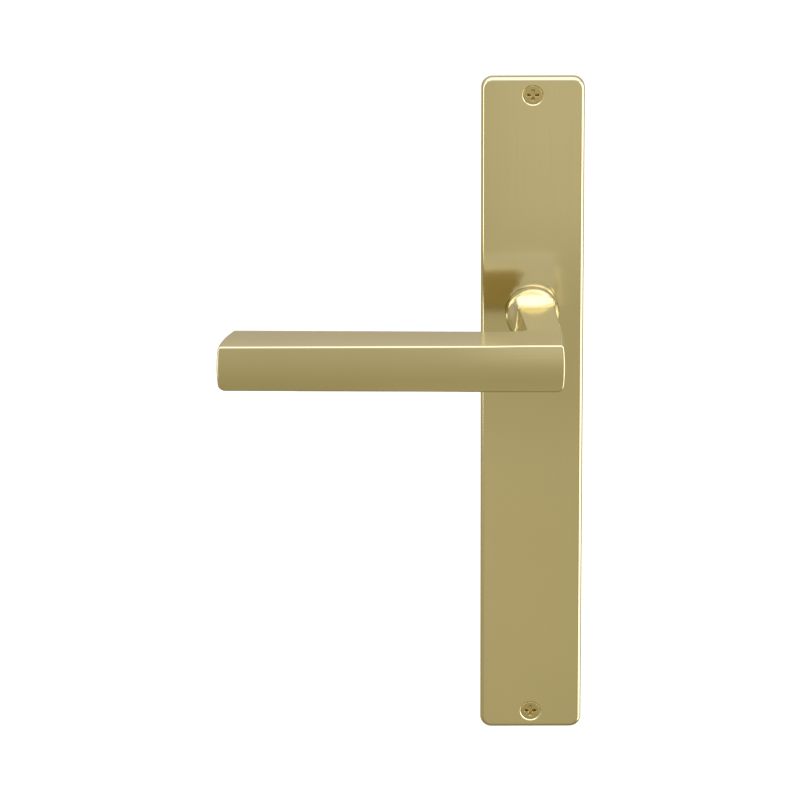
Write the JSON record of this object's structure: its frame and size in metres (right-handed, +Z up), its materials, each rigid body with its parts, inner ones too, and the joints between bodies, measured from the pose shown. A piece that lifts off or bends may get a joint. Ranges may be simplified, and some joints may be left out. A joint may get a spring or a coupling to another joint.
{
  "type": "door lever handle on long backplate",
  "caption": "Satin brass lever handle on a long plain backplate, with square spindle, sprung return cassette behind the plate and countersunk fixing screws.",
  "frame": {"origin": "on the spindle's axis, in the plane of the door's face that the backplate lies on", "axes": "+X from the grip's tip towards its heel, +Y into the door along the spindle, +Z up the backplate"},
  "size_m": [0.1257, 0.1158, 0.24],
  "materials": {
    "satin_brass": "satin, finely brushed and lacquered",
    "brass_screws": "satin",
    "steel": "bright zinc plate",
    "plated_steel": "zinc plate",
    "spring_steel": "oiled spring wire and strip",
    "zinc": "as cast",
    "nylon": "natural moulded"
  },
  "bodies": {
    "plate": {"backplate": "satin_brass", "plate_bush": "nylon", "thrust_washer": "nylon", "cassette_housing": "zinc", "retaining_washer": "steel", "return_spring_lower": "spring_steel", "return_spring_upper": "spring_steel", "stop_pin_lower": "steel", "stop_pin_upper": "steel", "cassette_cover": "plated_steel", "cassette_screw_1": "steel", "cassette_screw_2": "steel", "cassette_screw_3": "steel", "cassette_screw_4": "steel", "fixing_screw_top": "brass_screws", "fixing_screw_bottom": "brass_screws"},
    "lever": {"lever": "satin_brass", "grub_screw": "steel", "spindle": "steel", "circlip": "spring_steel", "rotor": "zinc", "disc_spring": "spring_steel"}
  },
  "joints": [
    {"name": "lever_turn", "type": "hinge", "parent": "plate", "child": "lever", "pos_m": [0, 0, 0], "axis": [0, -1, 0], "range_deg": [0, 42], "stiffness_Nm_per_rad": 0.9, "springref_deg": -20.05, "deforming": ["return_spring_lower", "return_spring_upper"]}
  ]
}
